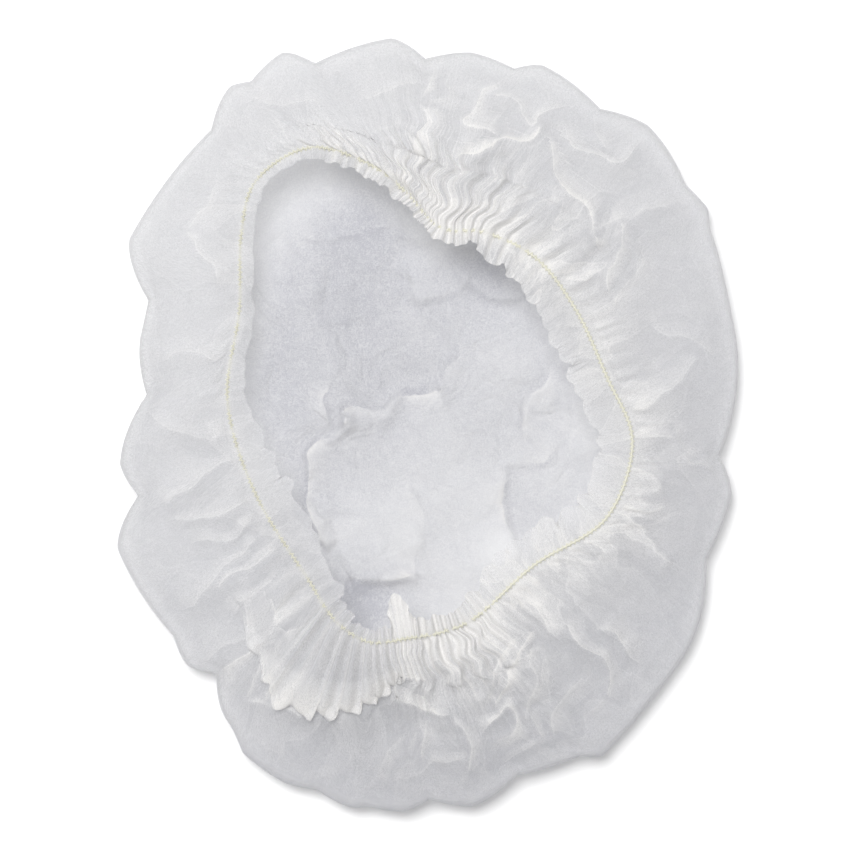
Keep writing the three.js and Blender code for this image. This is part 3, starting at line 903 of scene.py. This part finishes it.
# How far layers of the cloth lie on each other, 0 for a single one and 1 for a thick heap, with a painted
# highlight on one edge of each tight pleat added in as more layers. Each place adds its own share.
GATHER_STACK = 0.42
SEAM_STACK = 0.1
STEEP_STACK = 0.5  # the sides of folds, which are seen edge on
COVERED_STACK = 0.25  # over the elastic, where the gathers have closed over it
SLACK_STACK = 0.32  # round the elastic on the right, where it is slack
FRILL_STACK = 0.45  # the frill inside the fullest gathers
PLEAT_HIGHLIGHT = 0.25  # a painted highlight on one edge of each tight pleat
upright = np.abs((point_normals(points, faces) * facing_points).sum(axis=1))
full_points = ring_points(round_the_opening(FULL, turn))
under_points = ring_points(turned_under)
outside_points = np.maximum(seam_points, 0)
in_frill = seam_points < 0
across_frill = np.clip(-seam_points / ring_points(round_the_opening(FRILL, turn)), 0, 1)
stack_and_highlight_points = GATHER_STACK * np.exp(-(outside_points / (0.8 * reach_points)) ** 2)
stack_and_highlight_points *= fade(full_points, 1.05, 2.2)
stack_and_highlight_points *= np.where(in_frill, 0.4 + 0.4 * under_points, 1 - 0.6 * under_points)
stack_and_highlight_points += SEAM_STACK * np.exp(-(outside_points / 10) ** 2) * (1 - across_frill)
stack_and_highlight_points += STEEP_STACK * (1 - upright)
bare_columns = np.interp(seam_count(turn) * SEAM_STEPS / len(ELASTIC_ROUTE), np.arange(SEAM_STEPS), bare)
stack_and_highlight_points += COVERED_STACK * (1 - ring_points(bare_columns)) * np.exp(-(seam_points / 2.2) ** 2)
on_slack = fade(base_points[:, 0], *SLACK_SIDE) * (1 - 0.3 * across_frill)
stack_and_highlight_points += SLACK_STACK * on_slack * np.exp(-(outside_points / 24) ** 2)
stack_and_highlight_points += FRILL_STACK * fade(full_points, 1.8, 2.1) * in_frill


def at_phase(phase, width):
    """A bell round one place on each pleat, both counted in pleats."""
    return np.exp(-((np.mod(pleat_at - phase + 0.5, 1) - 0.5) / width) ** 2)


# Tight pleats: painted shade in the crevice at the foot of each, and a painted highlight on one edge.
tight = np.maximum(near_seam * near * fade(round_the_opening(FULL, turn), 1.3, 1.95), shelf)
valley_shade_points = ring_points(tight * at_phase(0.68, 0.08))
stack_and_highlight_points += PLEAT_HIGHLIGHT * ring_points(tight * at_phase(0.42, 0.1))
on_floor_points = 1 - fade(share_points, 0.645, 0.70)
stack_and_highlight_points = np.clip(stack_and_highlight_points, 0, 1) * (1 - on_floor_points)

# How strongly the places where the cloth laps over itself or is crushed show.
FLOOR_VEIL = 0.6
least_veil = 0.3 + 0.25 * fade(-base_points[:, 1], 90, 150)
veil_points = (np.exp(-(outside_points / 38) ** 2) + 8 * ring_points(slack)) * (1 - 0.8 * shelf_points)
veil_points *= 0.5 + 0.5 * fade(full_points, 1.1, 1.5)
veil_points = np.clip(veil_points, least_veil, 1) * (1 - on_floor_points) + FLOOR_VEIL * on_floor_points

# How grey the floor is, bare inside the opening or under the top, with painted shade and a band of painted
# light on it, and painted shade at the foot of each tight pleat. Hollows that get painted shade, for the
# little light that
# comes to them: x, y, size in mm and depth of the shade.
PAINTED_SHADE_HOLLOWS = [(-32, -91, 15, 0.7), (34, 82, 13, 0.6), (-29, 112, 17, 0.35), (52, -42, 12, 0.25)]
DARKEST = 1.28  # the grey and painted shade that takes the cloth to its darker colour
# Painted shade at the foot of each tight pleat.
VALLEY_SHADE = 0.3
under_top = fade(share_points, 0.34, 0.5)
at_x, at_y = base_points.T[:2]
# Painted shade on the floor under the top: darker towards the lower right, and most towards the bottom.
sunless = np.maximum((0.5 * at_x - 0.85 * at_y) / OVAL_Y + 0.6 * fade(-at_y, 125, 180), -0.6)
from_opening = np.min([np.hypot(at_x - sx, at_y - sy) for sx, sy, _ in seam_loop[::20]], axis=0)
# Painted shade on the bare floor: darker towards the upper left, and lighter where the floor is raised, so
# that its low places carry painted shade.
bare_grey_and_painted_shade = 0.82 + 0.36 * (at_y - at_x) / 150 - 0.26 * fade(points[:, 2], 1, 9)
# Painted shade in the hollows.
for px, py, size, hollow_shade in PAINTED_SHADE_HOLLOWS:
    bare_grey_and_painted_shade += hollow_shade * np.exp(-((at_x - px) ** 2 + (at_y - py) ** 2) / size ** 2)
# Painted light near the opening on the upper left, where the frill casts its shadow on the floor.
bare_grey_and_painted_shade -= 0.6 * np.exp(-(from_opening / 15) ** 2) * fade(at_y - 0.7 * at_x, -30, 60)
floor_grey_and_painted_shade = bare_grey_and_painted_shade + under_top * (0.65 + 0.3 * sunless - bare_grey_and_painted_shade)
grey_and_painted_shade_points = on_floor_points * np.clip(floor_grey_and_painted_shade / DARKEST, 0, 1) + VALLEY_SHADE * valley_shade_points

# The nearest fold or ledge: the distance to its line in mm, by side, and how strongly it shows.
SHELF_EDGE = 0.885  # share of the rings that lies before the shelf's edge
inside = share_points < 0.6
bent_x, bent_y = bent(at_x, at_y)
on_ledges, on_folds = (nearest_line(bent_x, bent_y, lines) for lines in (LEDGES, FOLDS))
line_points, line_high = np.where(inside, on_ledges, on_folds)
patchy = np.clip(0.5 + 0.4 * soft_noise(bent_x, bent_y, 24, 26), 0, 1)
line_strength = np.clip(line_high / 4, 0, 1) * np.where(inside, patchy, ring_points(folded))
at_edge = shelf_points * (1 - fade(share_points, 0.91, 0.93))
line_points = np.where(at_edge > 0.3, CUT / MM / 2 * (share_points - SHELF_EDGE), line_points)
line_strength = np.where(at_edge > 0.3, 1.5 * at_edge, line_strength)

cloth = bpy.data.materials.new("spunbond_nonwoven")
cloth.use_nodes = True
nodes, links = cloth.node_tree.nodes, cloth.node_tree.links


def ranged(value, low, high, to_low, to_high):
    """A value carried from one range to another, and held at the ends."""
    spread = nodes.new("ShaderNodeMapRange")
    for name, number in (("From Min", low), ("From Max", high), ("To Min", to_low), ("To Max", to_high)):
        spread.inputs[name].default_value = number
    links.new(value, spread.inputs["Value"])
    return spread.outputs["Result"]


def read_points(name):
    """A value that is stored on the points of the mesh."""
    stored = nodes.new("ShaderNodeAttribute")
    stored.attribute_name = name
    return stored.outputs["Fac"]


def reckon(operation, *values):
    """A sum of nodes: the operation on values that are sockets or plain numbers."""
    sum_node = nodes.new("ShaderNodeMath")
    sum_node.operation = operation
    for socket, value in zip(sum_node.inputs, values):
        if isinstance(value, (int, float)):
            socket.default_value = value
        else:
            links.new(value, socket)
    return sum_node.outputs["Value"]


def cloth_noise(scale, detail, distortion=0.0, stretch=(1.0, 1.0, 1.0)):
    """Noise on the flat cloth, so that it follows every fold: the cloth's place is taken times the stretch on
    each axis."""
    stretched = nodes.new("ShaderNodeVectorMath")
    stretched.operation = "MULTIPLY"
    stretched.inputs[1].default_value = stretch
    links.new(on_cut.outputs["UV"], stretched.inputs[0])
    noise = nodes.new("ShaderNodeTexNoise")
    noise.noise_dimensions = "2D"
    noise.inputs["Scale"].default_value = scale
    noise.inputs["Detail"].default_value = detail
    noise.inputs["Distortion"].default_value = distortion
    links.new(stretched.outputs["Vector"], noise.inputs["Vector"])
    return noise.outputs["Fac"]


on_cut = nodes.new("ShaderNodeUVMap")
on_cut.uv_map = "cut"
fibres = [cloth_noise(900.0, 1.0, 2.5, stretch) for stretch in ((1.0, 0.45, 1.0), (0.45, 1.0, 1.0))]
fibres = reckon("MULTIPLY", reckon("ADD", *fibres), 0.5)
lap = cloth_noise(30.0, 2.0, 0.4)
lapped = ranged(lap, 0.49, 0.52, 0.0, 0.2)
lap_edge = ranged(reckon("ABSOLUTE", reckon("SUBTRACT", lap, 0.505)), 0.0, 0.03, 0.2, 0.0)
crush = cloth_noise(62.0, 3.0, 0.9)
crushed = ranged(crush, 0.5, 0.57, 0.0, 0.16)
crush_edge = ranged(reckon("ABSOLUTE", reckon("SUBTRACT", crush, 0.5)), 0.0, 0.03, 0.16, 0.0)
layers_and_highlight = reckon("ADD", reckon("ADD", lapped, lap_edge), reckon("ADD", crushed, crush_edge))
layers_and_highlight = reckon("MULTIPLY", read_points("veil"), layers_and_highlight)
# The stack carries the painted highlight on one edge of each tight pleat.
layers_and_highlight = reckon("ADD", layers_and_highlight, read_points("stack"))
ply = nodes.new("ShaderNodeTexNoise")
ply.noise_dimensions = "1D"
ply.inputs["Scale"].default_value = 1.0
ply.inputs["Detail"].default_value = 1.0
links.new(read_points("ply"), ply.inputs["W"])
ply_edge = ranged(reckon("ABSOLUTE", reckon("SUBTRACT", ply.outputs["Fac"], 0.5)), 0.0, 0.08, 0.5, -0.1)
layers_and_highlight = reckon("ADD", layers_and_highlight, reckon("MULTIPLY", ply_edge, read_points("bunch")))
line = read_points("line")
off_line = reckon("ABSOLUTE", line)
crest = ranged(read_points("line_away"), 1.2, 2.4, 1.0, 0.0)
crest = reckon("MULTIPLY", ranged(off_line, 0.2, 1.7, 0.3, 0.0), crest)
echo = ranged(reckon("ABSOLUTE", reckon("SUBTRACT", line, 2.3)), 0.1, 1.0, 0.14, 0.0)
crest = reckon("ADD", crest, echo)
turned = reckon("MULTIPLY", ranged(line, -0.3, 0.3, 0.0, 0.6), ranged(off_line, 0.0, 12.0, 1.0, 0.0))
layers_and_highlight = reckon("ADD", layers_and_highlight, reckon("MULTIPLY", reckon("ADD", crest, turned), read_points("line_strength")))

web = nodes["Principled BSDF"]
web.inputs["Roughness"].default_value = 0.85
web.inputs["Specular IOR Level"].default_value = 0.2
web.inputs["Sheen Weight"].default_value = 0.4
web.inputs["Sheen Roughness"].default_value = 0.4
tone = nodes.new("ShaderNodeMix")
tone.data_type = "RGBA"
heap = nodes.new("ShaderNodeMix")
heap.data_type = "RGBA"
heap.inputs["A"].default_value = (0.83, 0.832, 0.848, 1)
heap.inputs["B"].default_value = (0.80, 0.788, 0.77, 1)
links.new(layers_and_highlight, heap.inputs["Factor"])
links.new(heap.outputs["Result"], tone.inputs["A"])
# The darker colour that the floor's grey and all the painted shade lead to.
tone.inputs["B"].default_value = (0.35, 0.354, 0.41, 1)
shaded = reckon("MULTIPLY", read_points("grey_and_painted_shade"), ranged(layers_and_highlight, 0.0, 1.0, 1.0, 0.4))
# Painted shade on the steep side of each line, at its foot, where the floor falls off a ledge.
painted_foot_shade = reckon("MULTIPLY", ranged(line, -5.0, -0.3, 0.0, 0.5), ranged(line, -0.3, 0.2, 1.0, 0.0))
painted_foot_shade = reckon("MULTIPLY", painted_foot_shade, reckon("MULTIPLY", read_points("line_strength"), read_points("grey_and_painted_shade")))
shaded = reckon("ADD", shaded, painted_foot_shade)
links.new(reckon("MULTIPLY", shaded, ranged(fibres, 0.35, 0.65, 0.58, 1.42)), tone.inputs["Factor"])
links.new(tone.outputs["Result"], web.inputs["Base Color"])
crinkle = nodes.new("ShaderNodeBump")
crinkle.inputs["Distance"].default_value = 0.003
links.new(ranged(read_points("grey_and_painted_shade"), 0.3, 0.5, 0.15, 1.0), crinkle.inputs["Strength"])
links.new(crush, crinkle.inputs["Height"])
links.new(crinkle.outputs["Normal"], web.inputs["Normal"])
glow = nodes.new("ShaderNodeBsdfTranslucent")
glow.inputs["Color"].default_value = (0.94, 0.94, 0.94, 1)
body = nodes.new("ShaderNodeMixShader")
links.new(ranged(layers_and_highlight, 0.0, 1.0, 0.5, 0.22), body.inputs["Fac"])
links.new(web.outputs["BSDF"], body.inputs[1])
links.new(glow.outputs["BSDF"], body.inputs[2])
clear = nodes.new("ShaderNodeBsdfTransparent")
sheer = nodes.new("ShaderNodeMixShader")
WEB = 0.36  # share of a single layer that the fibres cover
covered = ranged(layers_and_highlight, 0.0, 1.0, WEB, 0.97)
covered = reckon("MULTIPLY", covered, ranged(fibres, 0.35, 0.65, 0.82, 1.18))
links.new(reckon("MAXIMUM", covered, ranged(read_points("grey_and_painted_shade"), 0.0, 0.4, 0.0, 1.0)), sheer.inputs["Fac"])
links.new(clear.outputs["BSDF"], sheer.inputs[1])
links.new(body.outputs["Shader"], sheer.inputs[2])
links.new(sheer.outputs["Shader"], nodes["Material Output"].inputs["Surface"])

PLIES = 210  # edges of stacked cloth in a whole turn of gathers
cut_turn = column_points * TURN / COLUMNS
cut_reach = CUT / MM / 2 * radius_points / radius_points.max()
cut_points = np.stack([cut_reach * np.cos(cut_turn), cut_reach * np.sin(cut_turn)], axis=1)
crown = mesh_piece("crown_cloth", points, faces, cloth, cut_points)
stored = {
    # layers of the cloth and the painted highlight on one edge of each tight pleat
    "stack": stack_and_highlight_points,
    "veil": veil_points,
    "grey_and_painted_shade": grey_and_painted_shade_points,
    "line": line_points,
    "line_away": np.abs(line_points),
    "line_strength": line_strength,
    "ply": PLIES * column_points / COLUMNS,
    "bunch": ring_points(bunch),
}
for name, values in stored.items():
    crown.data.attributes.new(name, "FLOAT", "POINT").data.foreach_set("value", values.astype(np.float32))
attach(crown, "root")
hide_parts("crown")

# The studio
# A plain white floor under the cap, an even white surround, one soft light nearly overhead and a little to
# the upper left, and a camera straight above.
FLOOR_SIZE = 6
FLOOR_LEVEL = -0.0004  # just below the cap
bpy.ops.mesh.primitive_plane_add(size=FLOOR_SIZE, location=(0, 0, FLOOR_LEVEL))
floor = bpy.context.object
floor.name = "floor"
paint = bpy.data.materials.new("floor_paint")
paint.use_nodes = True
paint.node_tree.nodes["Principled BSDF"].inputs["Base Color"].default_value = (0.96, 0.96, 0.96, 1)
paint.node_tree.nodes["Principled BSDF"].inputs["Roughness"].default_value = 0.9
floor.data.materials.append(paint)

SURROUND = 0.448
world = bpy.data.worlds.new("studio")
world.use_nodes = True
world.node_tree.nodes["Background"].inputs["Color"].default_value = (1, 1, 1, 1)
world.node_tree.nodes["Background"].inputs["Strength"].default_value = SURROUND
bpy.context.scene.world = world


def soft_box(name, place, size, watts):
    """A square area light that looks at the middle of the cap."""
    lamp = bpy.data.lights.new(name, "AREA")
    lamp.size = size
    lamp.energy = watts
    box = bpy.data.objects.new(name, lamp)
    box.location = place
    box.rotation_euler = (-Vector(place)).to_track_quat("-Z", "Y").to_euler()
    bpy.context.scene.collection.objects.link(box)


soft_box("key", (-0.4, 0.65, 2.33), 1.0, 52)

CAMERA_HEIGHT = 1.6
CAMERA_X = -0.0016
PICTURE_WIDTH = 0.425
SEEN_LEVEL = 0.013  # height on the cap at which the picture is that wide
camera = bpy.data.cameras.new("camera")
camera.lens = camera.sensor_width * (CAMERA_HEIGHT - SEEN_LEVEL) / PICTURE_WIDTH
eye = bpy.data.objects.new("camera", camera)
eye.location = (CAMERA_X, 0, CAMERA_HEIGHT)
bpy.context.scene.collection.objects.link(eye)
bpy.context.scene.camera = eye
bpy.context.scene.view_settings.view_transform = "Standard"
bpy.context.scene.cycles.diffuse_bounces = 4
